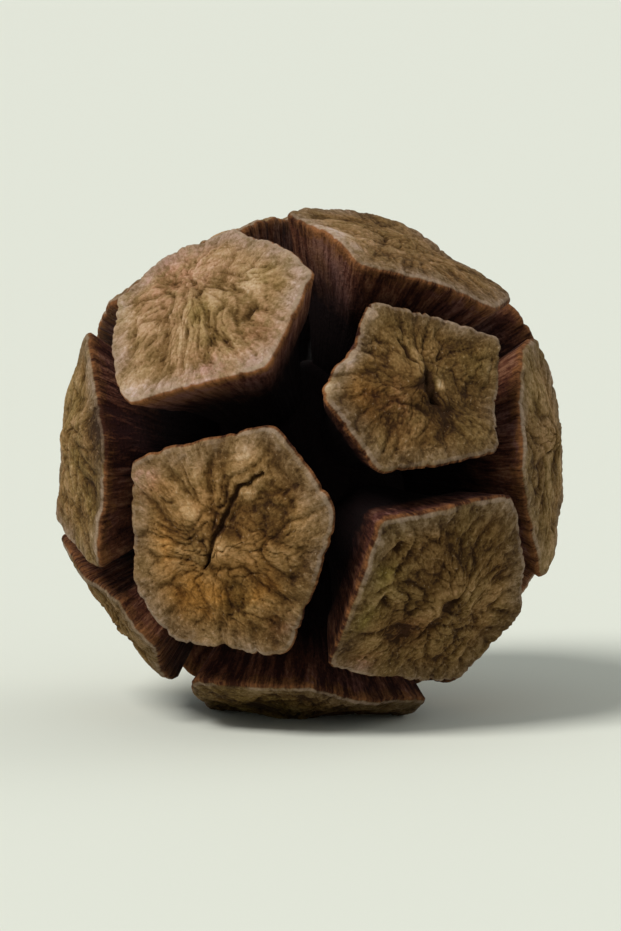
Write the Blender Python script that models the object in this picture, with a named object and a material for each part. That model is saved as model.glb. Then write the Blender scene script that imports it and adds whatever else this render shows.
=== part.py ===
"""A dry, open cypress cone lying on its side, with its tip towards -Y, as one solid.

Fifteen woody scales stand on a small core. Each is a many-sided shield on a neck, like a nail with a
wide head. The shields nearly close into a ball, and deep gaps about 2.6 mm wide run between them.
The cone rests on the flat of its lowest shield, which is trimmed level with the surface.
"""

import random
from math import cos, pi, radians, sin, tau

import bmesh
import bpy
import numpy as np
from mathutils import Vector

MM = 0.001
NAME = "cypress_cone"

# The whole cone: a ball of shields round a core
CONE_RADIUS = 14.35 * MM
CORE_RADIUS = 6.2 * MM
REST_HEIGHT = 14.25 * MM
TIP_LIFT = 7.0

# The middle of the core, which puts the middle of the whole outline over the origin
SIDE_SHIFT = -0.1 * MM
FRONT_SHIFT = 0.02 * MM

# Each shield: degrees from the tip, degrees round it, its rise above the ball and its half of a gap in mm
TIP_SCALES = ((31, 30, 0.6, 1.5), (21, 225, 0.6, 1.4), (45, 122, 0.6, 1.7), (42, 320, 0.6, 0.8))
MIDDLE_SCALES = (
    (74, 67, 0.0, 1.3),
    (74, 1, 0.0, 1.1),
    (79, 183, -0.2, 0.9),
    (91, 213, 0.0, 1.2),
    (82, 267, 0.2, 1.4),
    (106, 324, -0.4, 1.2),
    (104, 116, -0.4, 1.2),
)
BASE_SCALES = ((126, 36, 0.0, 1.3), (131, 209, 0.0, 1.3), (143, 122, 0.0, 1.3), (146, 299, 0.0, 1.3))

# One scale: a slightly domed face, a rounded edge, a wall, and an underside drawn in to a neck
DOME = 0.46
EDGE_RADIUS = 0.35 * MM
LIP_RISE = 0.12 * MM
LIP_START = 0.8
WALL_DEPTH = 3.2 * MM
NECK_SHARE = 0.42
NECK_HEIGHT = 6.4 * MM
NECK_CURVE = 0.7
ROOT_SHARE = 0.2
ROOT_HEIGHT = 4.0 * MM
CORNER_POWER = 18
FARTHEST = 1.0
NEARLY_UP = (0.0, 0.3, 1.0)

# The knob in the middle of a face, and the long waves of the wood
KNOB_HEIGHT = 0.4 * MM
KNOB_RADIUS = 1.1 * MM
WAVE_HEIGHT = 0.09 * MM
WAVE_LENGTHS = (5.0 * MM, 6.5 * MM, 9.0 * MM)
SEED = 7

# The stub of the stalk that the cone grew on
STALK_RADIUS = 1.55 * MM
STALK_FLARE = 2.1 * MM
STALK_LENGTH = 15.6 * MM
STALK_CLEARANCE = 0.9 * MM
STALK_SIDES = 14

# How finely the solid is faceted
SPOKES = 26
ALL_ROUND = np.linspace(0, tau, 720, endpoint=False)
FACE_RINGS = (0.14, 0.3, 0.54, 0.78, 1.0)
EDGE_TURNS = (pi / 4, pi / 2)
UNDER_RINGS = (0.45, 1.0)
RIM_ROUNDS = 6
CORE_SIDES = 24
CORE_BANDS = 14

# The box that levels the underside
LEVEL_BOX = 40 * MM

WOOD_COLOUR = (0.165, 0.095, 0.045, 1.0)
WOOD_ROUGHNESS = 0.8


def clear_scene():
    for obj in list(bpy.data.objects):
        bpy.data.objects.remove(obj, do_unlink=True)


def make_collection(name):
    collection = bpy.data.collections.new(name)
    bpy.context.scene.collection.children.link(collection)
    return collection


def wood_material():
    material = bpy.data.materials.new("dry_cone_wood")
    material.use_nodes = True
    shader = material.node_tree.nodes["Principled BSDF"]
    shader.inputs["Base Color"].default_value = WOOD_COLOUR
    shader.inputs["Roughness"].default_value = WOOD_ROUGHNESS
    shader.inputs["Metallic"].default_value = 0.0
    return material


def unit(vector):
    return vector / np.linalg.norm(vector)


def towards(polar, turn):
    """The way to a point of the ball: polar degrees from the tip, and turn degrees round it from +X."""
    across = sin(radians(polar)) * cos(radians(turn))
    up = sin(radians(polar)) * sin(radians(turn))
    ahead = cos(radians(polar))
    lift = radians(TIP_LIFT)
    return np.array((across, up * sin(lift) - ahead * cos(lift), up * cos(lift) + ahead * sin(lift)))


class Scale:
    """One scale: the planes its shield stays inside, and the spokes that its rings are drawn on."""

    def __init__(self, site, others, rise, half_gap, stalk_way, draw):
        self.planes = [unit(site - other) for other in others]
        self.insets = [half_gap] * len(others)
        if stalk_way is not None:
            self.planes.append(unit(site - site.dot(stalk_way) * stalk_way))
            self.insets.append(STALK_RADIUS + STALK_CLEARANCE)
        self.planes = np.array(self.planes)
        self.insets = np.array(self.insets)
        self.radius = CONE_RADIUS + rise
        self.waves = [(tau / length, draw.uniform(0, tau), draw.uniform(0, tau)) for length in WAVE_LENGTHS]
        self.aim(site)
        self.aim(self.middle_of_face())
        self.angles = self.spoke_angles()
        self.spokes = self.spokes_at(self.angles)

    def aim(self, way):
        """Points the scale's axis, and sets two directions across its face at right angles to it."""
        self.axis = way
        self.face_x = unit(np.cross(NEARLY_UP, way))
        self.face_y = np.cross(way, self.face_x)

    def spokes_at(self, angles):
        return np.outer(np.cos(angles), self.face_x) + np.outer(np.sin(angles), self.face_y)

    def closeness(self, height, spokes):
        """For each spoke and plane, one over the distance out to the plane, from a height on the axis."""
        closing = -spokes @ self.planes.T
        room = np.reshape(height, (-1, 1)) * (self.planes @ self.axis) - self.insets
        return np.clip(closing / room, 1 / FARTHEST, None)

    def reach(self, height, spokes):
        """How far out the planes stand along each spoke, with the corners between them rounded."""
        closeness = self.closeness(height, spokes)
        nearest = closeness.max(axis=1, keepdims=True)
        rounding = ((closeness / nearest) ** CORNER_POWER).sum(axis=1) ** (1 / CORNER_POWER)
        return 1 / (nearest[:, 0] * rounding)

    def middle_of_face(self):
        """The way to the middle of the shield's area, summed over thin wedges of it."""
        spokes = self.spokes_at(ALL_ROUND)
        out = self.reach(self.radius, spokes)
        wedge_areas = out**2 / 2
        wedge_middles = out[:, None] * spokes * 2 / 3
        middle = (wedge_areas[:, None] * wedge_middles).sum(axis=0) / wedge_areas.sum()
        return unit(self.radius * self.axis + middle)

    def spoke_angles(self):
        """A spoke to every corner of the shield, and even steps along the sides between them."""
        nearest = self.closeness(self.radius, self.spokes_at(ALL_ROUND)).argmax(axis=1)
        corners = ALL_ROUND[nearest != np.roll(nearest, 1)]
        ends = np.append(corners[1:], corners[0] + tau)
        sides = []
        for start, end in zip(corners, ends):
            steps = max(1, round(SPOKES * (end - start) / tau))
            sides.append(np.linspace(start, end, steps, endpoint=False))
        return np.concatenate(sides)

    def face_height(self, out, share):
        """Height of the face above the cone's centre, at a distance out that is a share of the way."""
        dome = self.radius - DOME * (self.radius - np.sqrt(self.radius**2 - out**2))
        knob = KNOB_HEIGHT * np.exp(-((out / KNOB_RADIUS) ** 2))
        lip = LIP_RISE * max(0.0, share - LIP_START) / (1 - LIP_START)
        waves = sum(
            np.sin(count * out * np.cos(self.angles - heading) + phase)
            for count, heading, phase in self.waves
        )
        return dome + knob + lip + WAVE_HEIGHT * waves

    def rings(self):
        """The rings of the scale, from its face to its root, each as distances out and heights."""
        rim = np.full(len(self.angles), CONE_RADIUS / 2)
        for _ in range(RIM_ROUNDS):
            rim_height = self.face_height(rim - EDGE_RADIUS, 1.0)
            rim = self.reach(rim_height - EDGE_RADIUS, self.spokes)
        flat = rim - EDGE_RADIUS
        rings = [(share * flat, self.face_height(share * flat, share)) for share in FACE_RINGS]
        for turn in EDGE_TURNS:
            rings.append((flat + EDGE_RADIUS * sin(turn), rim_height - EDGE_RADIUS * (1 - cos(turn))))
        wall_end = rim_height - WALL_DEPTH
        wall_out = self.reach(wall_end, self.spokes)
        rings.append((wall_out, wall_end))
        neck = NECK_SHARE * rim.mean()
        for share in UNDER_RINGS:
            out = wall_out + (neck - wall_out) * share**NECK_CURVE
            rings.append((out, wall_end + (NECK_HEIGHT - wall_end) * share))
        root = np.full_like(rim, ROOT_SHARE * rim.mean())
        rings.append((root, np.full_like(rim, ROOT_HEIGHT)))
        return rings

    def top(self):
        return self.face_height(0.0, 0.0)[0] * self.axis

    def bottom(self):
        return ROOT_HEIGHT * self.axis

    def point(self, ring, spoke):
        out, height = ring
        return height[spoke] * self.axis + out[spoke] * self.spokes[spoke]


def make_scale(scale, name, collection, centre):
    """A sphere whose bands are drawn out to the shield's rim, and in again to the neck and the root."""
    sides = len(scale.angles)
    rings = scale.rings()
    last_band = len(rings) + 1
    mesh_data = bmesh.new()
    bmesh.ops.create_uvsphere(mesh_data, u_segments=sides, v_segments=last_band, radius=1.0)
    for vertex in mesh_data.verts:
        place = vertex.co
        band = round(place.angle(Vector((0, 0, 1))) / pi * last_band)
        spoke = round(np.arctan2(place.y, place.x) / tau * sides) % sides
        if band == 0:
            moved = scale.top()
        elif band == last_band:
            moved = scale.bottom()
        else:
            moved = scale.point(rings[band - 1], spoke)
        vertex.co = centre + Vector(moved)
    return link_mesh(mesh_data, name, collection)


def link_mesh(mesh_data, name, collection):
    mesh = bpy.data.meshes.new(name)
    mesh_data.to_mesh(mesh)
    mesh_data.free()
    obj = bpy.data.objects.new(name, mesh)
    collection.objects.link(obj)
    return obj


def make_core(collection, centre):
    mesh_data = bmesh.new()
    bmesh.ops.create_uvsphere(
        mesh_data, u_segments=CORE_SIDES, v_segments=CORE_BANDS, radius=CORE_RADIUS
    )
    bmesh.ops.translate(mesh_data, verts=mesh_data.verts, vec=centre)
    return link_mesh(mesh_data, NAME, collection)


def make_stalk(collection, centre, way):
    """The stub of the stalk, from inside the core out between the four base scales."""
    mesh_data = bmesh.new()
    bmesh.ops.create_cone(
        mesh_data,
        cap_ends=True,
        segments=STALK_SIDES,
        radius1=STALK_FLARE,
        radius2=STALK_RADIUS,
        depth=STALK_LENGTH - ROOT_HEIGHT,
    )
    turn = Vector(way).to_track_quat("Z", "Y")
    bmesh.ops.rotate(mesh_data, verts=mesh_data.verts, cent=(0, 0, 0), matrix=turn.to_matrix())
    middle = centre + Vector(way) * (STALK_LENGTH + ROOT_HEIGHT) / 2
    bmesh.ops.translate(mesh_data, verts=mesh_data.verts, vec=middle)
    return link_mesh(mesh_data, "stalk_stub", collection)


def apply_modifiers(obj):
    depsgraph = bpy.context.evaluated_depsgraph_get()
    whole = bpy.data.meshes.new_from_object(obj.evaluated_get(depsgraph))
    obj.modifiers.clear()
    obj.data = whole


def join_scales(body, scales):
    """Fuses the scales and the stalk to the core, and removes their own objects."""
    union = body.modifiers.new("grown_together", "BOOLEAN")
    union.operation = "UNION"
    union.operand_type = "COLLECTION"
    union.collection = scales
    apply_modifiers(body)
    for obj in list(scales.objects):
        bpy.data.objects.remove(obj, do_unlink=True)
    bpy.data.collections.remove(scales)


def level_underside(body, cutters):
    """Trims the lowest shield flat, at the height of the surface that the cone lies on."""
    mesh_data = bmesh.new()
    bmesh.ops.create_cube(mesh_data, size=LEVEL_BOX)
    bmesh.ops.translate(mesh_data, verts=mesh_data.verts, vec=(0, 0, -LEVEL_BOX / 2))
    cutter = link_mesh(mesh_data, "level_cutter", cutters)
    cutter.hide_render = True
    cutter.display_type = "WIRE"
    cut = body.modifiers.new("level_underside", "BOOLEAN")
    cut.operation = "DIFFERENCE"
    cut.object = cutter


def main():
    clear_scene()
    parts = make_collection(NAME)
    cutters = make_collection("cutters")
    grown = make_collection("scales")
    centre = Vector((SIDE_SHIFT, FRONT_SHIFT, REST_HEIGHT))
    stalk_way = towards(180, 0)
    layout = TIP_SCALES + MIDDLE_SCALES + BASE_SCALES
    sites = [towards(polar, turn) for polar, turn, _, _ in layout]
    draw = random.Random(SEED)
    body = make_core(parts, centre)
    for index, (_, _, rise, half_gap) in enumerate(layout):
        others = sites[:index] + sites[index + 1 :]
        by_stalk = stalk_way if layout[index] in BASE_SCALES else None
        scale = Scale(sites[index], others, rise * MM, half_gap * MM, by_stalk, draw)
        make_scale(scale, f"scale_{index + 1}", grown, centre)
    make_stalk(grown, centre, stalk_way)
    join_scales(body, grown)
    level_underside(body, cutters)
    body.data.materials.append(wood_material())


main()
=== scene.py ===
"""The looks of the dry cypress cone: its scales with their wrinkles, cracks and rough walls, and its wood.

Each scale is drawn by the rule of the solid that it stands for, far more finely, with sharper corners and
with its wrinkles. The core and the stub of stalk are one more piece. Lengths are in metres, and the noise
that shapes the wood is read in millimetres.
"""

import itertools
import random
from collections import namedtuple
from math import cos, pi, radians, sin, tau

import bpy
import numpy as np
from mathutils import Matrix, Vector


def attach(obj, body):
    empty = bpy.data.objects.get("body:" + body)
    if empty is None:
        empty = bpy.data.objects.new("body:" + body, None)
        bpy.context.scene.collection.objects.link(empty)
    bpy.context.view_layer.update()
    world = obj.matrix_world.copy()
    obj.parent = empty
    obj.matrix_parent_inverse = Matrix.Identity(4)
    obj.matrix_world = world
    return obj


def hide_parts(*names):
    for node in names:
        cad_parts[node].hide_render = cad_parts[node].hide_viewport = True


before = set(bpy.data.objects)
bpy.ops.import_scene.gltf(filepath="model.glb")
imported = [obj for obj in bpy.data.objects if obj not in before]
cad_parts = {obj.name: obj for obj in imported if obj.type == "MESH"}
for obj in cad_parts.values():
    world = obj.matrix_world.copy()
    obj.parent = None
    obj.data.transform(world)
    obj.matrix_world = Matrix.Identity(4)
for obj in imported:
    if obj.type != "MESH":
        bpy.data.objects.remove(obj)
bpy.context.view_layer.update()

MM = 0.001
NODE = "cypress_cone"

# The whole cone: a ball of shields round a core
CONE_RADIUS = 14.35 * MM
CORE_RADIUS = 6.2 * MM
REST_HEIGHT = 14.25 * MM
TIP_LIFT = 7.0

# The middle of the core, which puts the middle of the whole outline over the origin
SIDE_SHIFT = -0.1 * MM
FRONT_SHIFT = 0.02 * MM

# Each shield: degrees from the tip, degrees round it, its rise above the ball and its half of a gap in mm
TIP_SCALES = ((31, 30, 0.6, 1.5), (21, 225, 0.6, 1.4), (45, 122, 0.6, 1.7), (42, 320, 0.6, 0.8))
MIDDLE_SCALES = (
    (74, 67, 0.0, 1.3),
    (74, 1, 0.0, 1.1),
    (79, 183, -0.2, 0.9),
    (91, 213, 0.0, 1.2),
    (82, 267, 0.2, 1.4),
    (106, 324, -0.4, 1.2),
    (104, 116, -0.4, 1.2),
)
BASE_SCALES = ((126, 36, 0.0, 1.3), (131, 209, 0.0, 1.3), (143, 122, 0.0, 1.3), (146, 299, 0.0, 1.3))

# One scale: a slightly domed face, a rounded edge, a wall, and an underside drawn in to a neck
DOME = 0.46
EDGE_RADIUS = 0.35 * MM
LIP_RISE = 0.12 * MM
LIP_START = 0.8
WALL_DEPTH = 3.2 * MM
NECK_SHARE = 0.42
NECK_HEIGHT = 6.4 * MM
NECK_CURVE = 0.7
ROOT_SHARE = 0.2
ROOT_HEIGHT = 4.0 * MM
CORNER_POWER = 24

# The farthest distance that a plane can stand at, and a direction well away from every scale's own
FARTHEST = 1.0
NEARLY_UP = (0.0, 0.3, 1.0)

# The knob in the middle of a face, and the long waves of the wood
KNOB_HEIGHT = 0.4 * MM
KNOB_RADIUS = 1.1 * MM
WAVE_HEIGHT = 0.09 * MM
WAVE_LENGTHS = (5.0 * MM, 6.5 * MM, 9.0 * MM)
SEED = 7

# The stub of the stalk that the cone grew on: its foot on the core is wider
STALK_RADIUS = 1.55 * MM
STALK_FLARE = 2.1 * MM
STALK_LENGTH = 15.6 * MM
STALK_CLEARANCE = 0.9 * MM
FLARE_END = 0.8

# How finely a scale is drawn
SPOKES = 264
ALL_ROUND = np.linspace(0, tau, 720, endpoint=False)
FACE_RINGS = 72
EDGE_RINGS = 6
WALL_RINGS = 20
UNDER_RINGS = 8
RIM_ROUNDS = 8

# How finely the core is drawn: the share of its rings that are on the ball, the share of half a turn that
# they go round it, and the share from which the rings close the stalk's end
CORE_RINGS = 120
CORE_SPOKES = 120
BALL_SHARE = 0.55
BALL_TURN = 0.9
BREAK_SHARE = 0.93

# The noise: how many cells it repeats after, the gain that brings it to about -1 to 1, and how far apart
# in it the scales are
NOISE_CELLS = 256
NOISE_GAIN = 1.5
SLICE_STEP = 17.3

# The wrinkles of a face, from broad to fine: spacing and height in mm, how far they lighten and darken it,
# their place in the noise, and the height of the noise up to which a furrow reaches where there is one. The
# lighter ridges and darker furrows are partly the wood's own tone and partly painted highlight and painted
# shade.
FaceLayer = namedtuple("FaceLayer", "spacing height light place furrow", defaults=(None,))
SWELLS = FaceLayer(2.6, 0.16, 0.24, 70)
FOLDS = FaceLayer(1.7, 0.2, 0.29, 20, 0.32)
CREASES = FaceLayer(0.8, 0.09, 0.23, 31, 0.18)
FIBRES = FaceLayer(0.38, 0.05, 0.18, 55, 0.2)
GRIT = FaceLayer(0.2, 0.025, 0.06, 44)

# The height of the ridges that counts as level, and the lightness of a level face
RIDGE_MEAN = 0.8
FACE_LIGHT = 0.46

# How the wrinkles bend, slowly and quickly: size and push of a bend in mm, and its two places in the noise
BENDS = ((2.8, 0.8, 0, 9), (0.8, 0.16, 5, 14))

# Strokes: their length in spacings, how often they can branch, the places of the branches in the noise, and
# the distances from their start, in spacings, between which they take over from an even net
STROKE_LENGTH = 4.0
MOST_BRANCHES = 6
BRANCH_PLACE = 3
NET_END, STROKES_START = 0.3, 1.3

# Towards the edge the wrinkles get lower and fainter: by how much, and from what share of the way out
RIM_CALM, RIM_CALM_START = 0.4, 0.8
LIGHT_CALM, LIGHT_CALM_START = 0.55, 0.6

# Fissures and pits in mm, how much painted shade darkens the face in them, the share of a fissure's width
# that is left at its tips, and the power that shapes its sides
FISSURE_WIDTH = 0.26
FISSURE_DEPTH = 0.4
FISSURE_SHADE = 0.5
FISSURE_TIP = 0.3
FISSURE_STEEPNESS = 0.7
PIT_RADIUS = 0.3
PIT_DEPTH = 0.45
PIT_SHADE = 0.5

# The edge seen from above: how far the relief also pushes it out, its wave and its nicks in mm, with their
# places in the noise, where on the face the push sets in, and where on the wall it has faded. The width of a
# nick is a height of the noise, like a furrow's.
SCALLOP = 0.6
EDGE_WAVE_SPACING, EDGE_WAVE_HEIGHT, EDGE_WAVE_PLACE = 1.9, 0.09, 30
NICK_SPACING, NICK_WIDTH, NICK_DEPTH, NICK_PLACE = 1.5, 0.12, 0.16, 90
PUSH_START = 0.6
PUSH_END = 0.7

# The worn line along the edge, as shares of the bend there, and the paler margin inside it
LIP_CREST = 0.35
LIP_WIDTH = 0.34
LIP_ON_FACE = 0.35
MARGIN_START = 0.72

# The ribs, hairs and swellings of the walls: spacing round the scale, length down it and height in mm, how
# far they lighten and darken the wall, and their place in the noise
WallLayer = namedtuple("WallLayer", "spacing length height light place")
RIBS = WallLayer(0.5, 3.0, 0.07, 0.22, 60)
HAIRS = WallLayer(0.2, 1.8, 0.03, 0.34, 50)
LUMPS = WallLayer(1.8, 1.6, 0.07, 0.15, 80)

# The radius in mm of the circle that the noise round a scale is read on
CIRCLE_RADIUS = 4.0

# How light a wall is without its noise, and how light the inside is
WALL_LIGHT = 0.48
INSIDE_LIGHT = 0.3

# The core's bark and threads: the radius of the circle that their noise is read on, their length, and their
# height as a share of the core's radius
BARK_CIRCLE, BARK_LENGTH, BARK_SHARE = 2.2, 4 * MM, 0.07
THREAD_CIRCLE, THREAD_LENGTH, THREAD_SHARE = 7, 3 * MM, 0.04

# The broken end of the stalk: the size, height and place in the noise of its splinters, and where they start
SPLINTER_SIZE, SPLINTER_HEIGHT, SPLINTER_PLACE, SPLINTER_START = 0.7 * MM, 0.25 * MM, 3.0, 0.85

# What the material reads down a scale: 0 on the face, 1 at the top of the wall, 2 at its end, 3 inside
FACE_ZONE, WALL_ZONE, END_ZONE, INSIDE_ZONE = 0.0, 1.0, 2.0, 3.0

# What it reads on the stalk, and the distances from the cone's centre between which that takes over
STALK_ZONE, STALK_ZONE_START, STALK_ZONE_END = 1.4, 8 * MM, 12 * MM

# What it reads in the middle of the broken end, and by what share it reads less from where up the stalk
BREAK_ZONE = 0.5
BREAK_DROP, BREAK_DROP_START = 0.5, 0.97

# How light the stalk is, and how far its threads swing that
STALK_LIGHT, STALK_LIGHT_SWING = 0.5, 0.5

# The tints of the wood: pale lightens it, and the others colour it. On the front shields pale also carries
# painted light and shade.
TINTS = ("pale", "amber", "olive", "rosy")

# The ranges that the wood of the hidden shields is drawn from, in the units of Wood
DRAWN_PALE = (-0.05, 0.1)
DRAWN_TINT = (0.0, 0.6)
DRAWN_PIT = (-2.5, 2.5)
DRAWN_FINENESS = (1.0, 1.4)
DRAWN_DEPTH = (0.8, 1.2)
DRAWN_NET = (0.2, 0.5)
DRAWN_FISSURES = 2
DRAWN_START, DRAWN_END = (0.3, 1.4), (1.8, 3.4)
DRAWN_SLANT = (-0.5, 0.5)
DRAWN_STRENGTH = (0.3, 1.0)

# The noise of the material: size, detail, roughness and distortion
PATCHES = (3.2 * MM, 3, 0.55, 0.3)
BLOTCHES = (1.5 * MM, 4, 0.6, 0.4)
MOTTLE = (0.7 * MM, 5, 0.6, 0.6)
SPECKS = (0.2 * MM, 4, 0.65, 0.0)
STREAKS = (1.0, 3, 0.6, 0.0)
THREADS = (1.0, 2, 0.6, 0.0)

# Streaks and threads: the radius of the circle that their noise is read on, across and up, and how often a
# mm they change along the wood
STREAK_GRAIN = (22.0, 22.0, 0.9)
THREAD_GRAIN = (45.0, 45.0, 1.4)

# The range that noise is mostly in, and how far each noise swings what it is added to
NOISE_RANGE = (0.3, 0.7)
MOTTLE_SWING = 0.09
BLOTCH_SWING = 0.09
SPECK_SWING = 0.12
STREAK_SWING = 0.06
THREAD_SWING = 0.22
DEPTH_SWING = 0.15

# How an amount is read from a noise or a field: two of its values, and what each of them gives
STREAKS_BY_DISTANCE = (1.0, 3.0, 0.0, 1.0)
HAIRLINES = (0.0, 0.016, -0.13, 0.0)
AMBER_BY_PATCHES = (0.35, 0.62, 0.3, 1.0)
OLIVE_BY_PATCHES = (0.62, 0.38, 0.2, 1.0)
ROSY_BY_MOTTLE = (0.38, 0.6, 0.2, 1.0)
MARGIN_BY_LIP = (0.0, LIP_ON_FACE, 0.0, 0.7)
MARGIN_BY_PATCHES = (0.38, 0.58, 0.25, 1.0)
WEAR_BY_MOTTLE = (*NOISE_RANGE, 0.5, 1.4)
WEAR_BY_STREAKS = (*NOISE_RANGE, 0.6, 1.3)
WEAR_BY_LIP = (0.3, 0.7, 0.0, 1.0)
WEAR_BY_PATCHES = (0.4, 0.6, 0.1, 1.0)
PALE_SPECKS = (0.64, 0.72, 0.0, 0.4)
PURPLE_BY_PATCHES = (0.45, 0.65, 0.0, 0.8)
RIND_TO_WALL = (1.05, 1.2, 0.0, 1.0)
WALL_TO_INSIDE_SHADE = (1.35, 2.3, 0.0, 1.0)
FACE_TO_WALL = (0.5, 0.7, 0.0, 1.0)
ROUGHNESS_BY_LIGHTNESS = (0.2, 0.9, 0.92, 0.66)
THREADS_BY_ZONE = (0.2, 0.8, 0.0, 0.7)

# The colours of the face, of the rind at the top of a wall and of the wall, each by its lightness
FACE_COLOURS = (
    (0.08, (0.03, 0.013, 0.004)),
    (0.3, (0.095, 0.05, 0.014)),
    (0.5, (0.19, 0.114, 0.043)),
    (0.7, (0.325, 0.207, 0.102)),
    (0.86, (0.44, 0.31, 0.185)),
    (1.0, (0.53, 0.4, 0.27)),
)
RIND_COLOURS = ((0.15, (0.03, 0.008, 0.003)), (0.85, (0.25, 0.1, 0.034)))
WALL_COLOURS = ((0.15, (0.022, 0.005, 0.003)), (0.5, (0.09, 0.028, 0.013)), (0.9, (0.22, 0.1, 0.052)))
# The near-black painted shade that a wall fades into deep down, and that covers the inside and the core
INSIDE_SHADE_COLOUR = (0.006, 0.002, 0.002)
WORN_DARK, WORN_PALE = (0.1, 0.06, 0.038), (0.45, 0.325, 0.22)
SPECK_COLOUR = (0.42, 0.31, 0.22)

# What each tint multiplies the colour by
AMBER_TINT = (1.14, 0.84, 0.4)
OLIVE_TINT = (0.86, 1.0, 0.58)
ROSY_TINT = (1.1, 0.9, 1.05)
MARGIN_TINT = (1.2, 1.4, 2.3)
PURPLE_TINT = (0.9, 0.95, 1.6)

# The gloss of the wood, and its finest bumps
SPECULAR = 0.12
MOTTLE_BUMP, SPECK_BUMP = 0.4, 0.8
BUMP_STRENGTH = 0.8
BUMP_HEIGHT = 0.22 * MM

# The places of a node's sockets that mixes colours
MIX_SHARE, MIX_LOW, MIX_HIGH, MIX_RESULT = 0, 6, 7, 2

# The floor and the light: for each lamp, its name, the way to it, its energy and its angle in degrees
FLOOR_SIZE = 12
FLOOR_CELLS = 8
FLOOR_COLOUR = (0.715, 0.735, 0.655)
FLOOR_ROUGHNESS = 0.7
LAMPS = (("key", (-0.45, -0.45, 0.77), 2.7, 22), ("fill", (0.8, 0.45, 0.4), 0.7, 50))
LAMP_COLOUR = (1.0, 0.985, 0.96)
SKY_COLOUR = (0.95, 1.0, 0.98, 1.0)
SKY_STRENGTH = 0.38

# The camera, which looks straight at the tip
LENS = 300
SENSOR = 36
CAMERA_DISTANCE = 0.45
NEAREST_SEEN = 0.01


class Wood:
    """How one shield's wood differs from the next one's.

    It has the fineness and depth of its wrinkles, how far they are a net and not a star, its share of each
    tint, and its marks at places in mm on the face: fissures as two ends and a strength, pits, patches as
    x, y, radius, tint and strength, and the place that its strokes run out from. Its bulges are where its
    edge stands out or in: the degrees round it, how many of them it spreads over, and how far in mm.
    """

    def __init__(
        self, fineness, depth, net, tints, fissures=(), pits=(), patches=(), start=(0.0, 0.0), bulges=()
    ):
        self.fineness = fineness
        self.depth = depth
        self.net = net
        self.tints = dict(zip(TINTS, tints))
        self.fissures = fissures
        self.pits = pits
        self.patches = patches
        self.start = start
        self.bulges = bulges
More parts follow.
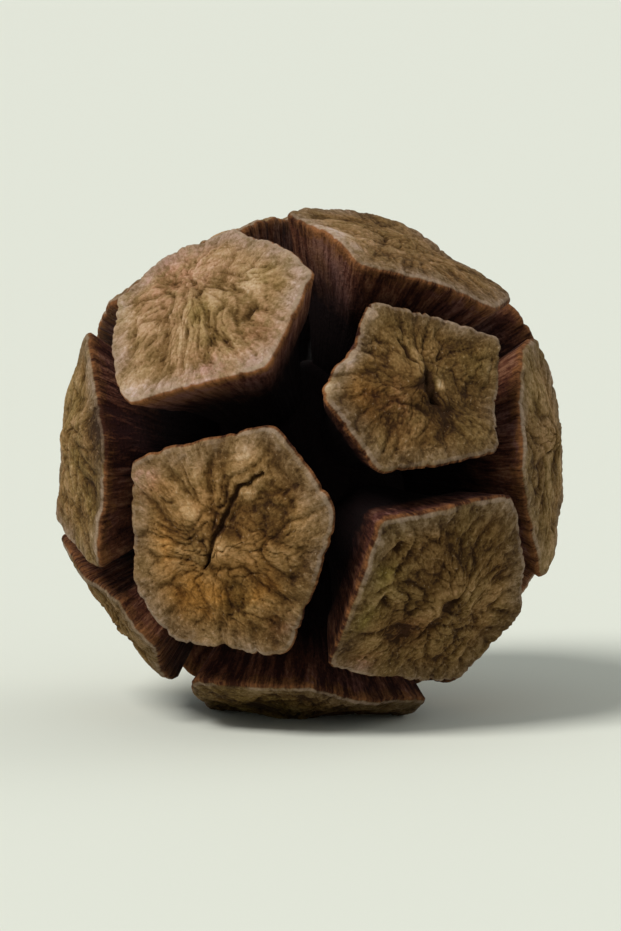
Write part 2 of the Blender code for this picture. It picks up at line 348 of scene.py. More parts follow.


# The wood of the shields on the front, in the order of their layout. Their pale tints are partly painted
# light:
# they lighten the shield high on the left, which faces the lamp, and darken the shields on the upper and
# lower right and the one at the bottom, which face away from it.
FRONT_WOODS = (
    Wood(
        fineness=1.1,
        depth=0.8,
        net=0.35,
        tints=(-0.12, 0.25, 0.25, 0.15),
        fissures=(((0.0, 0.4), (1.3, -1.5), 1.0), ((-1.2, 2.4), (-0.4, 0.9), 0.7)),
        pits=((0.3, 0.4), (0.9, -1.1)),
        patches=(
            (1.1, 0.0, 0.35, "pale", 0.8),
            (-4.2, 1.2, 0.7, "pale", 0.4),
            (-5.8, -0.4, 0.8, "pale", 0.6),
            (1.2, -1.4, 0.8, "pale", -0.2),
            (-2.8, 4.3, 1.0, "pale", 0.25),
            (0.3, -0.1, 0.7, "pale", -0.3),
            (-3.0, -0.5, 1.5, "amber", 0.5),
            (-1.8, -1.3, 1.4, "rosy", 0.9),
            (2.6, 1.6, 1.3, "olive", 0.5),
        ),
        bulges=((150, 15, -0.5),),
    ),
    Wood(
        fineness=1.0,
        depth=1.05,
        net=0.35,
        tints=(-0.02, 0.55, 0.1, 0.15),
        fissures=(((-1.4, -0.8), (3.4, 4.2), 1.0), ((-0.6, 1.4), (-2.2, 1.2), 0.4)),
        # Its small pale patches are partly paler wood and partly painted highlights on ridge tops
        patches=(
            (-4.0, 4.2, 0.8, "pale", 0.28),
            (-4.0, 4.2, 1.0, "rosy", 1.0),
            (-1.5, 2.4, 0.8, "pale", 0.32),
            (0.0, 3.1, 0.5, "pale", 0.2),
            (2.4, 5.3, 0.8, "pale", 0.25),
            (2.3, 2.9, 0.5, "pale", 0.3),
            (0.3, 0.2, 0.5, "pale", 0.35),
            (-3.4, 0.3, 1.2, "amber", 0.6),
            (4.2, 0.7, 0.6, "pale", -0.2),
            (2.0, -1.4, 0.5, "pale", -0.12),
            (2.4, -2.9, 1.4, "amber", 0.9),
            (-1.7, -2.6, 1.5, "amber", 1.0),
            (-1.7, -2.9, 1.1, "pale", -0.12),
            (2.5, -2.4, 1.1, "pale", -0.1),
            (0.4, -3.0, 0.9, "olive", 0.6),
            (2.6, -5.0, 0.8, "rosy", 0.7),
        ),
    ),
    Wood(
        fineness=1.5,
        depth=0.9,
        net=0.08,
        tints=(0.16, 0.1, 0.15, 0.35),
        fissures=(
            ((-0.8, 2.5), (1.7, -2.7), 0.45),
            ((2.4, -1.9), (3.2, -3.2), 0.45),
            ((1.1, -3.1), (1.9, -4.2), 0.4),
            ((-3.5, -0.3), (-3.7, -1.6), 0.35),
            ((-2.6, -1.5), (-2.8, -2.6), 0.35),
            ((-0.2, -1.8), (0.5, -4.0), 0.3),
            ((-2.5, 0.9), (-1.7, -0.8), 0.3),
        ),
        pits=((3.7, -0.6),),
        patches=(
            (-2.0, 2.6, 2.2, "rosy", 0.8),
            (0.9, 3.6, 1.6, "pale", -0.06),
            (4.3, -2.0, 1.5, "rosy", 0.6),
            (0.8, -0.6, 1.3, "olive", 0.6),
            (1.7, -2.6, 1.5, "olive", 0.5),
            (4.6, 1.8, 1.5, "olive", 0.4),
            (-5.4, 1.0, 1.3, "olive", 0.5),
            (1.9, -5.0, 1.6, "rosy", 0.8),
            (0.8, -5.3, 1.6, "pale", 0.12),
            (-2.8, -5.3, 1.6, "pale", 0.12),
        ),
        start=(-0.8, 2.4),
        bulges=((79, 18, -0.65), (168, 18, -0.65), (122, 16, 0.3)),
    ),
    Wood(
        fineness=1.2,
        depth=1.0,
        net=0.35,
        tints=(-0.12, 0.25, 0.25, 0.15),
        fissures=(((0.4, 1.5), (-0.6, -2.3), 0.8),),
        pits=((-4.6, 3.1), (-3.6, -0.6)),
        patches=(
            (-5.3, 3.9, 1.0, "olive", 0.9),
            (-4.9, 1.4, 1.0, "olive", 0.9),
            (-4.5, -1.6, 1.0, "olive", 0.9),
            (-4.9, 0.0, 1.4, "pale", 0.1),
            (-2.9, 1.6, 1.1, "pale", -0.1),
            (-1.2, -2.1, 1.2, "rosy", 0.9),
            (-3.2, -4.4, 0.9, "rosy", 1.0),
            (-3.2, -4.4, 0.7, "pale", 0.2),
        ),
    ),
    Wood(
        fineness=1.3,
        depth=0.8,
        net=0.3,
        tints=(-0.05, 0.1, 0.15, 0.35),
        # The pale patch on its left wall is painted light on a wall that lies in the shade of the next
        # shield
        patches=((-6.2, 0.5, 2.4, "pale", 0.4),),
    ),
    Wood(fineness=1.2, depth=0.9, net=0.4, tints=(0.02, 0.2, 0.3, 0.2)),
    Wood(
        fineness=1.2,
        depth=0.9,
        net=0.3,
        tints=(0.0, 0.1, 0.5, 0.3),
        patches=((-3.0, -2.0, 2.0, "rosy", 0.7), (6.6, 0.0, 2.4, "pale", -0.45)),
    ),
    Wood(fineness=1.1, depth=1.0, net=0.3, tints=(-0.05, 0.2, 0.3, 0.2)),
    Wood(
        fineness=1.1,
        depth=1.0,
        net=0.4,
        tints=(-0.14, 0.1, 0.4, 0.1),
        patches=((2.5, 0.0, 3.0, "olive", 0.6), (-3.0, 0.0, 2.5, "rosy", 0.8)),
    ),
)


def unit(vector):
    return vector / np.linalg.norm(vector)


def towards(polar, turn):
    """The way to a point of the ball: polar degrees from the tip, and turn degrees round it from +X."""
    across = sin(radians(polar)) * cos(radians(turn))
    up = sin(radians(polar)) * sin(radians(turn))
    ahead = cos(radians(polar))
    lift = radians(TIP_LIFT)
    return np.array((across, up * sin(lift) - ahead * cos(lift), up * cos(lift) + ahead * sin(lift)))


def smooth(low, high, value):
    """0 below low, 1 above high, and an even curve between."""
    share = np.clip((value - low) / (high - low), 0.0, 1.0)
    return share * share * (3 - 2 * share)


def between(start, end, share):
    """The value at a share of the way from start to end."""
    return start + (end - start) * share


def steps(count):
    """Even shares up to 1, one to a ring."""
    return (np.arange(1, count + 1) / count)[:, None]


class Noise:
    """Smooth noise in space, from about -1 to 1, with features about one unit long."""

    def __init__(self, seed):
        generator = np.random.default_rng(seed)
        self.order = np.tile(generator.permutation(NOISE_CELLS), 3)
        slopes = generator.normal(size=(NOISE_CELLS, 3))
        self.slopes = slopes / np.linalg.norm(slopes, axis=1, keepdims=True)

    def __call__(self, x, y, z):
        x, y, z = np.broadcast_arrays(x, y, z)
        points = np.stack((x, y, z), axis=-1)
        cells = np.floor(points).astype(int)
        parts = points - cells
        cells = cells % NOISE_CELLS
        fades = parts**3 * (parts * (parts * 6 - 15) + 10)
        total = np.zeros(x.shape)
        for corner in itertools.product((0, 1), repeat=3):
            spot = cells + corner
            key = self.order[self.order[self.order[spot[..., 0]] + spot[..., 1]] + spot[..., 2]]
            height = (self.slopes[key] * (parts - corner)).sum(axis=-1)
            weights = np.where(corner, fades, 1 - fades).prod(axis=-1)
            total += weights * height
        return total * NOISE_GAIN


noise = Noise(SEED)


def furrows(value, width):
    """1 on broad rounded ridges, and down to 0 in narrow furrows along the lines where value is 0."""
    share = np.clip(np.abs(value) / width, 0.0, 1.0)
    return 1 - (1 - share) ** 2


def from_segment(x, y, start, end):
    """The distance from a straight line between two points, and the share of the way along it."""
    way = np.subtract(end, start)
    share = np.clip(((x - start[0]) * way[0] + (y - start[1]) * way[1]) / way.dot(way), 0, 1)
    return np.hypot(x - start[0] - share * way[0], y - start[1] - share * way[1]), share


class Relief:
    """The wrinkles of one scale, as fields over its face and down its walls."""

    def __init__(self, number, wood):
        self.slice = SLICE_STEP * number
        self.wood = wood

    def bent(self, x, y):
        """The place that the wrinkles at x, y are read from, which makes them bend."""
        bent_x, bent_y = x, y
        for size, push, x_place, y_place in BENDS:
            bent_x = bent_x + push * noise(x / size, y / size, self.slice + x_place)
            bent_y = bent_y + push * noise(x / size, y / size, self.slice + y_place)
        return bent_x, bent_y

    def strokes(self, x, y, layer):
        """Noise in strokes that run out from their start and branch on the way, mixed with an even net."""
        spacing = layer.spacing / self.wood.fineness
        x = x - self.wood.start[0]
        y = y - self.wood.start[1]
        out = np.hypot(x, y)
        turn = np.arctan2(y, x)
        along = out / (STROKE_LENGTH * spacing) + self.slice
        level = np.log2(np.maximum(out / spacing, 1.0))
        total = np.zeros_like(out)
        power = np.zeros_like(out)
        for branches in range(MOST_BRANCHES):
            share = np.clip(1 - np.abs(level - branches), 0, 1)
            radius = 2.0**branches
            across = radius * np.cos(turn) + layer.place
            up = radius * np.sin(turn) + BRANCH_PLACE * branches
            total += share * noise(across, up, along)
            power += share**2
        star = total / np.sqrt(power)
        net = noise(x / spacing, y / spacing, self.slice + layer.place)
        share = np.maximum(self.wood.net, 1 - smooth(NET_END * spacing, STROKES_START * spacing, out))
        return between(star, net, share) / np.hypot(1 - share, share)

    def round_the_edge(self, spacing, turn, along, place):
        """Noise round the scale's own axis, for its edge and walls."""
        radius = CIRCLE_RADIUS / spacing
        return noise(radius * np.cos(turn) + place, radius * np.sin(turn), along + self.slice)

    def edge_wave(self, turn):
        """How far in mm the edge stands out at a turn, with its bulges and nicks."""
        wave = EDGE_WAVE_HEIGHT * self.round_the_edge(EDGE_WAVE_SPACING, turn, 0.0, EDGE_WAVE_PLACE)
        for place, spread, push in self.wood.bulges:
            apart = (np.degrees(turn) - place + 180) % 360 - 180
            wave += push * np.exp(-((apart / spread) ** 2))
        nicks = 1 - furrows(self.round_the_edge(NICK_SPACING, turn, 0.0, NICK_PLACE), NICK_WIDTH)
        return wave - NICK_DEPTH * nicks

    def marks(self, x, y):
        """How deep in fissures, and how deep in pits, a place on the face is: from 0 to 1."""
        cracks = np.zeros_like(x)
        for start, end, strength in self.wood.fissures:
            apart, along = from_segment(x, y, start, end)
            width = FISSURE_WIDTH * between(FISSURE_TIP, 1.0, np.sin(pi * along))
            depth = strength * np.clip(1 - apart / width, 0, 1) ** FISSURE_STEEPNESS
            cracks = np.maximum(cracks, depth)
        pits = np.zeros_like(x)
        for pit_x, pit_y in self.wood.pits:
            pits += np.exp(-(((x - pit_x) ** 2 + (y - pit_y) ** 2) / PIT_RADIUS**2))
        return cracks, np.clip(pits, 0, 1)

    def face(self, x, y, share):
        """Height in mm and lightness of the relief, at a place in mm and a share of the way to the edge."""
        bent_x, bent_y = self.bent(x, y)
        swell = noise(bent_x / SWELLS.spacing, bent_y / SWELLS.spacing, self.slice + SWELLS.place)
        height = SWELLS.height * swell
        light = SWELLS.light * swell
        # Ridges are lightened and furrows darkened, partly as the wood's tone and partly as painted
        # highlight and shade
        for layer in (FOLDS, CREASES, FIBRES):
            ridges = furrows(self.strokes(bent_x, bent_y, layer), layer.furrow) - RIDGE_MEAN
            height = height + layer.height * ridges
            light = light + layer.light * ridges
        grit = noise(x / GRIT.spacing, y / GRIT.spacing, self.slice + GRIT.place)
        light = light + GRIT.light * grit
        cracks, pits = self.marks(bent_x, bent_y)
        height = height * self.wood.depth * (1 - RIM_CALM * smooth(RIM_CALM_START, 1.0, share))
        height = height + GRIT.height * grit - FISSURE_DEPTH * cracks - PIT_DEPTH * pits
        light = light * self.wood.depth * (1 - LIGHT_CALM * smooth(LIGHT_CALM_START, 1.0, share))
        return height, FACE_LIGHT + light - FISSURE_SHADE * cracks - PIT_SHADE * pits

    def wall(self, turn, along):
        """How far the wall stands out in mm, and its lightness, at a turn and a distance over the rim."""
        out = 0.0
        light = WALL_LIGHT
        for layer in (RIBS, HAIRS, LUMPS):
            value = self.round_the_edge(layer.spacing, turn, along / layer.length, layer.place)
            out = out + layer.height * value
            light = light + layer.light * value
        return out, light

    def tint(self, name, x, y):
        """The share of one tint at places on the face."""
        share = np.full(np.shape(x), self.wood.tints[name])
        for patch_x, patch_y, radius, tint, strength in self.wood.patches:
            if tint == name:
                share += strength * np.exp(-((x - patch_x) ** 2 + (y - patch_y) ** 2) / radius**2)
        return share


class Scale:
    """One scale: the planes its shield stays inside, and the spokes that its rings are drawn on."""

    def __init__(self, site, others, rise, half_gap, stalk_way, draw, relief):
        self.planes = [unit(site - other) for other in others]
        self.insets = [half_gap] * len(others)
        if stalk_way is not None:
            self.planes.append(unit(site - site.dot(stalk_way) * stalk_way))
            self.insets.append(STALK_RADIUS + STALK_CLEARANCE)
        self.planes = np.array(self.planes)
        self.insets = np.array(self.insets)
        self.radius = CONE_RADIUS + rise
        self.waves = [(tau / length, draw.uniform(0, tau), draw.uniform(0, tau)) for length in WAVE_LENGTHS]
        self.relief = relief
        self.aim(site)
        self.aim(self.middle_of_face())
        self.angles = self.spoke_angles()
        self.spokes = self.spokes_at(self.angles)
        self.find_rim()

    def aim(self, way):
        """Points the scale's axis, and sets two directions across its face at right angles to it."""
        self.axis = way
        self.face_x = unit(np.cross(NEARLY_UP, way))
        self.face_y = np.cross(way, self.face_x)

    def spokes_at(self, angles):
        return np.outer(np.cos(angles), self.face_x) + np.outer(np.sin(angles), self.face_y)

    def closeness(self, height, spokes):
        """For each spoke and plane, one over the distance out to the plane, from a height on the axis."""
        closing = -spokes @ self.planes.T
        room = np.reshape(height, (-1, 1)) * (self.planes @ self.axis) - self.insets
        return np.clip(closing / room, 1 / FARTHEST, None)

    def reach(self, height, spokes):
        """How far out the planes stand along each spoke, with the corners between them rounded."""
        closeness = self.closeness(height, spokes)
        nearest = closeness.max(axis=1, keepdims=True)
        rounding = ((closeness / nearest) ** CORNER_POWER).sum(axis=1) ** (1 / CORNER_POWER)
        return 1 / (nearest[:, 0] * rounding)

    def middle_of_face(self):
        """The way to the middle of the shield's area, summed over thin wedges of it."""
        spokes = self.spokes_at(ALL_ROUND)
        out = self.reach(self.radius, spokes)
        wedge_areas = out**2 / 2
        wedge_middles = out[:, None] * spokes * 2 / 3
        middle = (wedge_areas[:, None] * wedge_middles).sum(axis=0) / wedge_areas.sum()
        return unit(self.radius * self.axis + middle)

    def spoke_angles(self):
        """A spoke to every corner of the shield, and even steps along the sides between them."""
        nearest = self.closeness(self.radius, self.spokes_at(ALL_ROUND)).argmax(axis=1)
        corners = ALL_ROUND[nearest != np.roll(nearest, 1)]
        ends = np.append(corners[1:], corners[0] + tau)
        sides = []
        for start, end in zip(corners, ends):
            count = max(1, round(SPOKES * (end - start) / tau))
            sides.append(np.linspace(start, end, count, endpoint=False))
        return np.concatenate(sides)

    def find_rim(self):
        """Where the flat of the face ends, how high it is there, and how far the edge is pushed out."""
        rim = np.full(len(self.angles), CONE_RADIUS / 2)
        for _ in range(RIM_ROUNDS):
            self.rim_height = self.face_height(rim - EDGE_RADIUS, 1.0)
            rim = self.reach(self.rim_height - EDGE_RADIUS, self.spokes)
        self.rim_size = rim.mean()
        self.flat = rim - EDGE_RADIUS
        self.wall_top = self.rim_height - EDGE_RADIUS
        self.wall_end = self.rim_height - WALL_DEPTH
        self.rim_lift, self.rim_light = self.face_relief(self.flat, 1.0)
        self.push = SCALLOP * self.rim_lift + self.relief.edge_wave(self.angles) * MM

    def face_height(self, out, share):
        """Height of the smooth face above the cone's centre, at a distance out and share of the way."""
        dome = self.radius - DOME * (self.radius - np.sqrt(self.radius**2 - out**2))
        knob = KNOB_HEIGHT * np.exp(-((out / KNOB_RADIUS) ** 2))
        lip = LIP_RISE * np.clip((share - LIP_START) / (1 - LIP_START), 0, 1)
        waves = sum(
            np.sin(count * out * np.cos(self.angles - heading) + phase)
            for count, heading, phase in self.waves
        )
        return dome + knob + lip + WAVE_HEIGHT * waves

    def face_relief(self, out, share):
        """The relief in metres and the lightness of the face, at distances out along the spokes."""
        lift, light = self.relief.face(out * np.cos(self.angles) / MM, out * np.sin(self.angles) / MM, share)
        return lift * MM, light

    def wall_relief(self, along):
        """How far in metres the wall stands out, and its lightness, at distances along its spokes."""
        out, light = self.relief.wall(self.angles[None, :], along / MM)
        return out * MM, light

    def path_down(self, height):
        """The distance from the middle of the face over the edge, and down to a height on the wall."""
        return self.flat + EDGE_RADIUS * pi / 2 + self.wall_top - height

    def face_rows(self):
        share = steps(FACE_RINGS)
        out = share * self.flat
        lift, light = self.face_relief(out, share)
        height = self.face_height(out, share) + lift
        pushed = out + self.push * smooth(PUSH_START, 1.0, share)
        lip = LIP_ON_FACE * smooth(MARGIN_START, 1.0, share)
        return pushed, height, light, FACE_ZONE, lip, out

    def edge_rows(self):
        bend = steps(EDGE_RINGS)
        quarter = bend * pi / 2
        along = self.flat + EDGE_RADIUS * quarter
        rough, wall_light = self.wall_relief(along)
        over = np.sin(quarter) ** 2
        out = self.flat + self.push + EDGE_RADIUS * np.sin(quarter) + rough * over
        height = self.rim_height + self.rim_lift - EDGE_RADIUS * (1 - np.cos(quarter))
        light = between(self.rim_light, wall_light, over)
        lip = np.exp(-(((bend - LIP_CREST) / LIP_WIDTH) ** 2))
        return out, height, light, between(FACE_ZONE, WALL_ZONE, bend), lip, along

    def wall_rows(self):
        down = steps(WALL_RINGS)
        plain_height = between(self.wall_top, self.wall_end, down)
        plain_out = np.array([self.reach(row, self.spokes) for row in plain_height])
        along = self.path_down(plain_height)
        rough, light = self.wall_relief(along)
        fade = 1 - smooth(0.0, PUSH_END, down)
        out = plain_out + rough + self.push * fade
        height = plain_height + self.rim_lift * fade
        return out, height, light, between(WALL_ZONE, END_ZONE, down), 0.0, along

    def under_rows(self):
        share = steps(UNDER_RINGS)
        height = between(self.wall_end, NECK_HEIGHT, share)
        along = self.path_down(height)
        rough, light = self.wall_relief(along)
        wall_out = self.reach(self.wall_end, self.spokes)
        out = between(wall_out, NECK_SHARE * self.rim_size, share**NECK_CURVE) + rough
        return out, height, light, between(END_ZONE, INSIDE_ZONE, share), 0.0, along

    def root_row(self):
        along = self.path_down(NECK_HEIGHT)
        return ROOT_SHARE * self.rim_size, ROOT_HEIGHT, INSIDE_LIGHT, INSIDE_ZONE, 0.0, along

    def rings(self):
        """Distances out, heights, lightness, zones, lips and distances along, for each ring and spoke."""
        rows = (self.face_rows(), self.edge_rows(), self.wall_rows(), self.under_rows(), self.root_row())
        one_ring = np.zeros((1, len(self.angles)))
        rows = [np.broadcast_arrays(*row, one_ring)[:-1] for row in rows]
        return [np.concatenate(kind) for kind in zip(*rows)]


def grid_faces(rings, spokes):
    """A triangle fan round the first point, bands of quads, and a fan round the last point."""
    last = 1 + rings * spokes
    ahead = np.roll(np.arange(spokes), -1)
    here = np.arange(spokes)
    faces = [(0, 1 + a, 1 + b) for a, b in zip(here, ahead)]
    for ring in range(rings - 1):
        upper = 1 + ring * spokes
        lower = upper + spokes
        faces += zip(
            (upper + here).tolist(),
            (lower + here).tolist(),
            (lower + ahead).tolist(),
            (upper + ahead).tolist(),
        )
    lowest = 1 + (rings - 1) * spokes
    faces += [(lowest + a, last, lowest + b) for a, b in zip(here, ahead)]
    return faces


def with_ends(first, values, last):
    """The values of all the rings, with those of the first and the last point."""
    return np.concatenate(((first,), values.ravel(), (last,)))


def grain_along(angles, along):
    """For each point, the way of its spoke as two numbers, and its distance along the wood in mm."""
    ways = np.broadcast_to(np.stack((np.cos(angles), np.sin(angles)), axis=-1), (*along.shape, 2))
    return np.concatenate((ways, along[..., None] / MM), axis=-1).reshape(-1, 3)


def make_piece(name, points, faces, fields, material):
    """One piece of wood, level where it rests, with the fields that its material reads."""
    mesh = bpy.data.meshes.new(name)
    points = points.copy()
    points[:, 2] = np.maximum(points[:, 2], 0.0)
    mesh.from_pydata(points.tolist(), [], faces)
    for label, values in fields.items():
        values = np.asarray(values, dtype=np.float32)
        kind, key = ("FLOAT", "value") if values.ndim == 1 else ("FLOAT_VECTOR", "vector")
        mesh.attributes.new(label, kind, "POINT").data.foreach_set(key, values.ravel())
    mesh.materials.append(material)
    mesh.shade_smooth()
    piece = bpy.data.objects.new(name, mesh)
    bpy.context.scene.collection.objects.link(piece)
    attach(piece, "root")
    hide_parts(NODE)


def make_scale(number, scale, centre, material):
    out, height, light, zone, lip, along = scale.rings()
    rings, spokes = out.shape
    points = out[..., None] * scale.spokes + height[..., None] * scale.axis
    middle_lift, middle_light = scale.relief.face(np.zeros(1), np.zeros(1), 0.0)
    top = (scale.face_height(np.zeros(spokes), 0.0)[0] + middle_lift[0] * MM) * scale.axis
    bottom = ROOT_HEIGHT * scale.axis
    points = np.vstack((top, points.reshape(-1, 3), bottom)) + centre
    grain = grain_along(scale.angles, along)
    x = with_ends(0.0, out * np.cos(scale.angles), 0.0) / MM
    y = with_ends(0.0, out * np.sin(scale.angles), 0.0) / MM
    fields = {
        "relief": with_ends(middle_light[0], light, INSIDE_LIGHT),
        "zone": with_ends(FACE_ZONE, zone, INSIDE_ZONE),
        "lip": with_ends(0.0, lip, 0.0),
        "grain": np.vstack(((0.0, 0.0, 0.0), grain, (0.0, 0.0, grain[-1, 2]))),
    }
    fields |= {name: scale.relief.tint(name, x, y) for name in TINTS}
    make_piece(f"scale_{number:02d}", points, grid_faces(rings, spokes), fields, material)


def make_core(centre, stalk_way, material):
    """A rough ball, drawn out at the back into the stub of stalk, with a broken end."""
    side = unit(np.cross(NEARLY_UP, stalk_way))
    up = np.cross(stalk_way, side)
    angles = np.linspace(0, tau, CORE_SPOKES, endpoint=False)
    to_side, to_up = np.cos(angles), np.sin(angles)

    share = (np.arange(1, CORE_RINGS + 1) / (CORE_RINGS + 1))[:, None]
    polar = pi * BALL_TURN * np.clip(share / BALL_SHARE, 0, 1)
    climb = np.clip((share - BALL_SHARE) / (BREAK_SHARE - BALL_SHARE), 0, 1)
    closing = np.clip((share - BREAK_SHARE) / (1 - BREAK_SHARE), 0, 1)
    stalk_out = between(STALK_FLARE, STALK_RADIUS, smooth(0, FLARE_END, climb)) * (1 - closing)
    stalk_along = between(CORE_RADIUS * cos(pi * (1 - BALL_TURN)), STALK_LENGTH, climb)
    on_stalk = share > BALL_SHARE
    out = np.where(on_stalk, stalk_out, CORE_RADIUS * np.sin(polar))
    along = np.where(on_stalk, stalk_along, -CORE_RADIUS * np.cos(polar))

    bark = noise(BARK_CIRCLE * to_side, BARK_CIRCLE * to_up, along / BARK_LENGTH)
    threads = noise(THREAD_CIRCLE * to_side, THREAD_CIRCLE * to_up, along / THREAD_LENGTH)
    out = out * (1 + BARK_SHARE * bark + THREAD_SHARE * threads)
    splinters = noise(out * to_side / SPLINTER_SIZE, out * to_up / SPLINTER_SIZE, SPLINTER_PLACE)
    along = along + SPLINTER_HEIGHT * splinters * smooth(SPLINTER_START, 1.0, climb)

    spokes = to_side[:, None] * side + to_up[:, None] * up
    points = out[..., None] * spokes + along[..., None] * stalk_way
    points = np.vstack((-CORE_RADIUS * stalk_way, points.reshape(-1, 3), STALK_LENGTH * stalk_way)) + centre
    # The core reads as inside, so it takes the near-black painted shade; up the stalk that gives way to the
    # wall's colour
    zone = between(INSIDE_ZONE, STALK_ZONE, smooth(STALK_ZONE_START, STALK_ZONE_END, along))
    zone = zone * (1 - BREAK_DROP * smooth(BREAK_DROP_START, 1.0, climb))
    light = STALK_LIGHT + STALK_LIGHT_SWING * threads
    grain = grain_along(angles, along)
    fields = {
        "relief": with_ends(INSIDE_LIGHT, light, STALK_LIGHT),
        "zone": with_ends(INSIDE_ZONE, zone, BREAK_ZONE),
        "grain": np.vstack(((0.0, 0.0, 0.0), grain, (0.0, 0.0, STALK_LENGTH / MM))),
    }
    fields |= {name: np.zeros(len(points)) for name in ("lip", *TINTS)}
    make_piece("core_and_stalk", points, grid_faces(CORE_RINGS, CORE_SPOKES), fields, material)


def node(tree, kind, **settings):
    made = tree.nodes.new(kind)
    for name, value in settings.items():
        setattr(made, name, value)
    return made


def mix_colours(tree, share, low, high, blend_type="MIX"):
    mix = node(tree, "ShaderNodeMix", data_type="RGBA", blend_type=blend_type)
    for place, value in ((MIX_SHARE, share), (MIX_LOW, low), (MIX_HIGH, high)):
        socket = mix.inputs[place]
        if isinstance(value, bpy.types.NodeSocket):
            tree.links.new(value, socket)
        elif isinstance(value, tuple):
            socket.default_value = (*value, 1.0)
        else:
            socket.default_value = value
    return mix.outputs[MIX_RESULT]


def maths(tree, operation, first, second=None):
    made = node(tree, "ShaderNodeMath", operation=operation)
    for socket, value in zip(made.inputs, (first, second)):
        if isinstance(value, bpy.types.NodeSocket):
            tree.links.new(value, socket)
        elif value is not None:
            socket.default_value = value
    return made.outputs[0]


def added(tree, first, *others):
    total = first
    for other in others:
        total = maths(tree, "ADD", total, other)
    return total


def multiplied(tree, first, *others):
    product = first
    for other in others:
        product = maths(tree, "MULTIPLY", product, other)
    return product


def field(tree, name):
    return node(tree, "ShaderNodeAttribute", attribute_name=name).outputs["Fac"]


def noise_texture(tree, coordinates, size, detail, roughness, distortion):
    """Noise with features of that size, in the units of the coordinates."""
    texture = node(tree, "ShaderNodeTexNoise")
    tree.links.new(coordinates, texture.inputs["Vector"])
    texture.inputs["Scale"].default_value = 1 / size
    texture.inputs["Detail"].default_value = detail
    texture.inputs["Roughness"].default_value = roughness
    texture.inputs["Distortion"].default_value = distortion
    return texture.outputs["Fac"]


def map_range(tree, value, low, high, new_low, new_high):
    mapped = node(tree, "ShaderNodeMapRange")
    tree.links.new(value, mapped.inputs["Value"])
    mapped.inputs["From Min"].default_value = low
    mapped.inputs["From Max"].default_value = high
    mapped.inputs["To Min"].default_value = new_low
    mapped.inputs["To Max"].default_value = new_high
    return mapped.outputs["Result"]


def swing(tree, value, amount):
    """Noise brought to the range from minus the amount to plus it."""
    return map_range(tree, value, *NOISE_RANGE, -amount, amount)


def scaled(tree, vector, factors):
    product = node(tree, "ShaderNodeVectorMath", operation="MULTIPLY")
    tree.links.new(vector, product.inputs[0])
    product.inputs[1].default_value = factors
    return product.outputs[0]


def colour_ramp(tree, share, stops):
    """A colour for each share, from stops of (share, colour) from low to high."""
    ramp = node(tree, "ShaderNodeValToRGB")
    tree.links.new(share, ramp.inputs[0])
    elements = ramp.color_ramp.elements
    while len(elements) < len(stops):
        elements.new(1.0)
    for element, (place, colour) in zip(elements, stops):
        element.position = place
        element.color = (*colour, 1.0)
    return ramp.outputs[0]


def tinted(tree, colour, tint, share):
    """The colour, multiplied by a tint in so far as its share is high."""
    return mix_colours(tree, share, colour, mix_colours(tree, 1.0, colour, tint, "MULTIPLY"))


class WoodTexture:
    """What the wood's colour and bump are made from: the fields of the mesh, and noise of several sizes."""

    def __init__(self, tree):
        self.relief, self.zone, self.lip = (field(tree, name) for name in ("relief", "zone", "lip"))
        self.pale, self.amber, self.olive, self.rosy = (field(tree, name) for name in TINTS)
        place = node(tree, "ShaderNodeTexCoord").outputs["Object"]
        self.patches = noise_texture(tree, place, *PATCHES)
        self.blotches = noise_texture(tree, place, *BLOTCHES)
        self.mottle = noise_texture(tree, place, *MOTTLE)
        self.specks = noise_texture(tree, place, *SPECKS)
        grain = node(tree, "ShaderNodeAttribute", attribute_name="grain").outputs["Vector"]
        self.streaks = noise_texture(tree, scaled(tree, grain, STREAK_GRAIN), *STREAKS)
        self.threads = noise_texture(tree, scaled(tree, grain, THREAD_GRAIN), *THREADS)
        along = node(tree, "ShaderNodeSeparateXYZ")
        tree.links.new(grain, along.inputs[0])
        streaky = map_range(tree, along.outputs["Z"], *STREAKS_BY_DISTANCE)
        self.streak = multiplied(tree, swing(tree, self.streaks, STREAK_SWING), streaky)
        off_middle = maths(tree, "ABSOLUTE", maths(tree, "SUBTRACT", self.streaks, 0.5))
        self.hairline = multiplied(tree, map_range(tree, off_middle, *HAIRLINES), streaky)
        self.lightness = added(
            tree,
            self.relief,
            swing(tree, self.mottle, MOTTLE_SWING),
            swing(tree, self.blotches, BLOTCH_SWING),
            swing(tree, self.specks, SPECK_SWING),
            self.streak,
            self.hairline,
            self.pale,
        )


def face_colour(tree, wood):
    """Wood by its lightness, tinted in patches, with a greyer margin and a worn line along the edge."""
    margin = multiplied(
        tree,
        map_range(tree, wood.lip, *MARGIN_BY_LIP),
        map_range(tree, wood.patches, *MARGIN_BY_PATCHES),
    )
    inside = maths(tree, "SUBTRACT", 1.0, margin)
    amber = multiplied(tree, wood.amber, map_range(tree, wood.patches, *AMBER_BY_PATCHES), inside)
    olive = multiplied(tree, wood.olive, map_range(tree, wood.patches, *OLIVE_BY_PATCHES))
    rosy = multiplied(tree, wood.rosy, map_range(tree, wood.mottle, *ROSY_BY_MOTTLE))
    colour = colour_ramp(tree, wood.lightness, FACE_COLOURS)
    colour = tinted(tree, colour, AMBER_TINT, amber)
    colour = tinted(tree, colour, OLIVE_TINT, olive)
    colour = tinted(tree, colour, ROSY_TINT, rosy)
    colour = tinted(tree, colour, MARGIN_TINT, margin)

    wear = multiplied(
        tree,
        wood.lip,
        map_range(tree, wood.mottle, *WEAR_BY_MOTTLE),
        map_range(tree, wood.streaks, *WEAR_BY_STREAKS),
    )
    wear = map_range(tree, wear, *WEAR_BY_LIP)
    wear = multiplied(tree, wear, map_range(tree, wood.patches, *WEAR_BY_PATCHES))
    worn_colour = mix_colours(tree, wood.lightness, WORN_DARK, WORN_PALE)
    colour = mix_colours(tree, wear, colour, worn_colour)
    return mix_colours(tree, map_range(tree, wood.specks, *PALE_SPECKS), colour, SPECK_COLOUR)


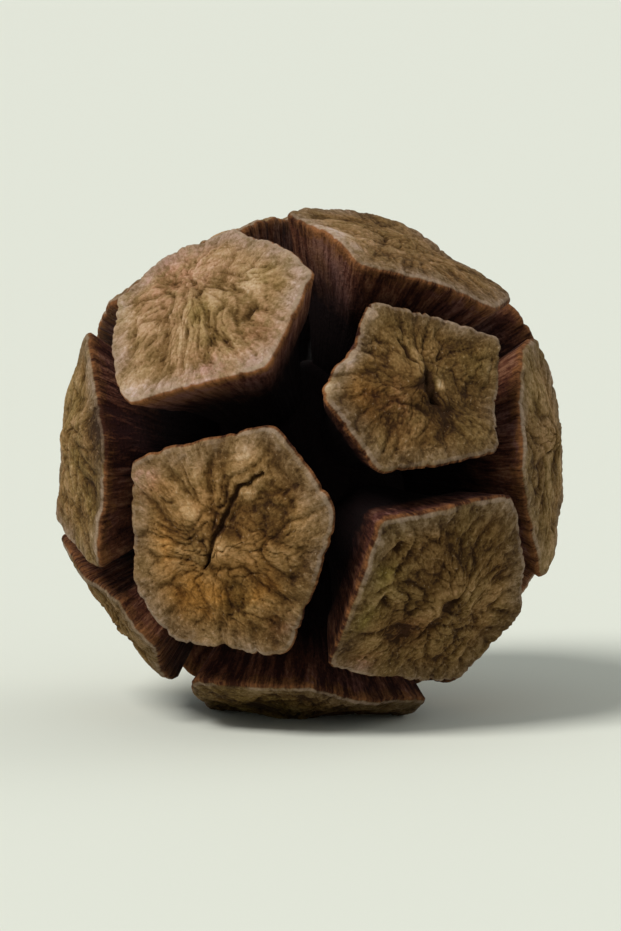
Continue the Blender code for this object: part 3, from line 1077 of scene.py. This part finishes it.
def wall_colour(tree, wood):
    """Threads of a lighter rind at the top, then of the wall, which fades into near-black painted shade
    towards the inside.
    """
    fibrous = added(tree, wood.lightness, wood.streak, swing(tree, wood.threads, THREAD_SWING))
    rind = colour_ramp(tree, fibrous, RIND_COLOURS)
    colour = colour_ramp(tree, fibrous, WALL_COLOURS)
    colour = tinted(tree, colour, PURPLE_TINT, map_range(tree, wood.patches, *PURPLE_BY_PATCHES))
    depth = added(tree, wood.zone, swing(tree, wood.mottle, DEPTH_SWING))
    colour = mix_colours(tree, map_range(tree, depth, *RIND_TO_WALL), rind, colour)
    # Deep down the wall, and on the core, the colour turns to near-black painted shade
    return mix_colours(tree, map_range(tree, depth, *WALL_TO_INSIDE_SHADE), colour, INSIDE_SHADE_COLOUR)


def wood_bump(tree, wood):
    """The finest roughness of the wood, with threads on the walls."""
    bump = node(tree, "ShaderNodeBump")
    bump.inputs["Strength"].default_value = BUMP_STRENGTH
    bump.inputs["Distance"].default_value = BUMP_HEIGHT
    height = added(
        tree,
        multiplied(tree, wood.mottle, MOTTLE_BUMP),
        multiplied(tree, wood.specks, SPECK_BUMP),
        wood.streak,
        multiplied(tree, wood.threads, map_range(tree, wood.zone, *THREADS_BY_ZONE)),
    )
    tree.links.new(height, bump.inputs["Height"])
    return bump.outputs[0]


def wood_material():
    material = bpy.data.materials.new("dry_cone_wood")
    material.use_nodes = True
    tree = material.node_tree
    shader = tree.nodes["Principled BSDF"]
    wood = WoodTexture(tree)
    on_wall = map_range(tree, wood.zone, *FACE_TO_WALL)
    colour = mix_colours(tree, on_wall, face_colour(tree, wood), wall_colour(tree, wood))
    tree.links.new(colour, shader.inputs["Base Color"])
    tree.links.new(map_range(tree, wood.lightness, *ROUGHNESS_BY_LIGHTNESS), shader.inputs["Roughness"])
    tree.links.new(wood_bump(tree, wood), shader.inputs["Normal"])
    shader.inputs["Specular IOR Level"].default_value = SPECULAR
    return material


def floor_material():
    material = bpy.data.materials.new("pale_floor")
    material.use_nodes = True
    shader = material.node_tree.nodes["Principled BSDF"]
    shader.inputs["Base Color"].default_value = (*FLOOR_COLOUR, 1.0)
    shader.inputs["Roughness"].default_value = FLOOR_ROUGHNESS
    return material


def drawn_fissure(draw):
    """A fissure that runs out from near the middle of a face."""
    turn = draw.uniform(0, tau)
    near = draw.uniform(*DRAWN_START)
    far = draw.uniform(*DRAWN_END)
    far_turn = turn + draw.uniform(*DRAWN_SLANT)
    start = (near * cos(turn), near * sin(turn))
    end = (far * cos(far_turn), far * sin(far_turn))
    return start, end, draw.uniform(*DRAWN_STRENGTH)


def drawn_wood(draw):
    """The wood of a shield that the front doesn't show."""
    tints = [draw.uniform(*DRAWN_PALE)]
    tints += [draw.uniform(*DRAWN_TINT) for _ in TINTS[1:]]
    pits = [(draw.uniform(*DRAWN_PIT), draw.uniform(*DRAWN_PIT))]
    fissures = [drawn_fissure(draw) for _ in range(DRAWN_FISSURES)]
    fineness = draw.uniform(*DRAWN_FINENESS)
    depth = draw.uniform(*DRAWN_DEPTH)
    net = draw.uniform(*DRAWN_NET)
    return Wood(fineness, depth, net, tints, fissures, pits)


def make_cone():
    centre = np.array((SIDE_SHIFT, FRONT_SHIFT, REST_HEIGHT))
    stalk_way = towards(180, 0)
    layout = TIP_SCALES + MIDDLE_SCALES + BASE_SCALES
    sites = [towards(polar, turn) for polar, turn, _, _ in layout]
    shape_draw = random.Random(SEED)
    wood_draw = random.Random(SEED + 1)
    material = wood_material()
    for index, (_, _, rise, half_gap) in enumerate(layout):
        others = sites[:index] + sites[index + 1 :]
        by_stalk = stalk_way if layout[index] in BASE_SCALES else None
        wood = FRONT_WOODS[index] if index < len(FRONT_WOODS) else drawn_wood(wood_draw)
        relief = Relief(index, wood)
        scale = Scale(sites[index], others, rise * MM, half_gap * MM, by_stalk, shape_draw, relief)
        make_scale(index + 1, scale, centre, material)
    make_core(centre, stalk_way, material)


def make_floor():
    """A broad pale floor."""
    bpy.ops.mesh.primitive_grid_add(
        size=FLOOR_SIZE, x_subdivisions=FLOOR_CELLS, y_subdivisions=FLOOR_CELLS, location=(0, 0, 0)
    )
    floor = bpy.context.active_object
    floor.name = "floor"
    floor.data.materials.append(floor_material())


def light_scene():
    """A large soft lamp, high on the left, a weak one behind on the right, and an even sky."""
    for name, way, energy, angle in LAMPS:
        sun = bpy.data.lights.new(name, "SUN")
        sun.energy = energy
        sun.angle = radians(angle)
        sun.color = LAMP_COLOUR
        holder = bpy.data.objects.new(name, sun)
        bpy.context.scene.collection.objects.link(holder)
        holder.rotation_euler = Vector(way).to_track_quat("Z", "Y").to_euler()
    world = bpy.data.worlds.new("studio")
    world.use_nodes = True
    background = world.node_tree.nodes["Background"]
    background.inputs["Color"].default_value = SKY_COLOUR
    background.inputs["Strength"].default_value = SKY_STRENGTH
    bpy.context.scene.world = world
    bpy.context.scene.view_settings.view_transform = "Standard"


def make_camera():
    camera = bpy.data.cameras.new("camera")
    camera.lens = LENS
    camera.sensor_width = SENSOR
    camera.clip_start = NEAREST_SEEN
    holder = bpy.data.objects.new("camera", camera)
    bpy.context.scene.collection.objects.link(holder)
    lift = radians(TIP_LIFT)
    aim = Vector((0.0, 0.0, REST_HEIGHT))
    holder.location = aim + CAMERA_DISTANCE * Vector((0.0, -cos(lift), sin(lift)))
    holder.rotation_euler = (aim - holder.location).to_track_quat("-Z", "Y").to_euler()
    bpy.context.scene.camera = holder


make_camera()
make_floor()
light_scene()
make_cone()
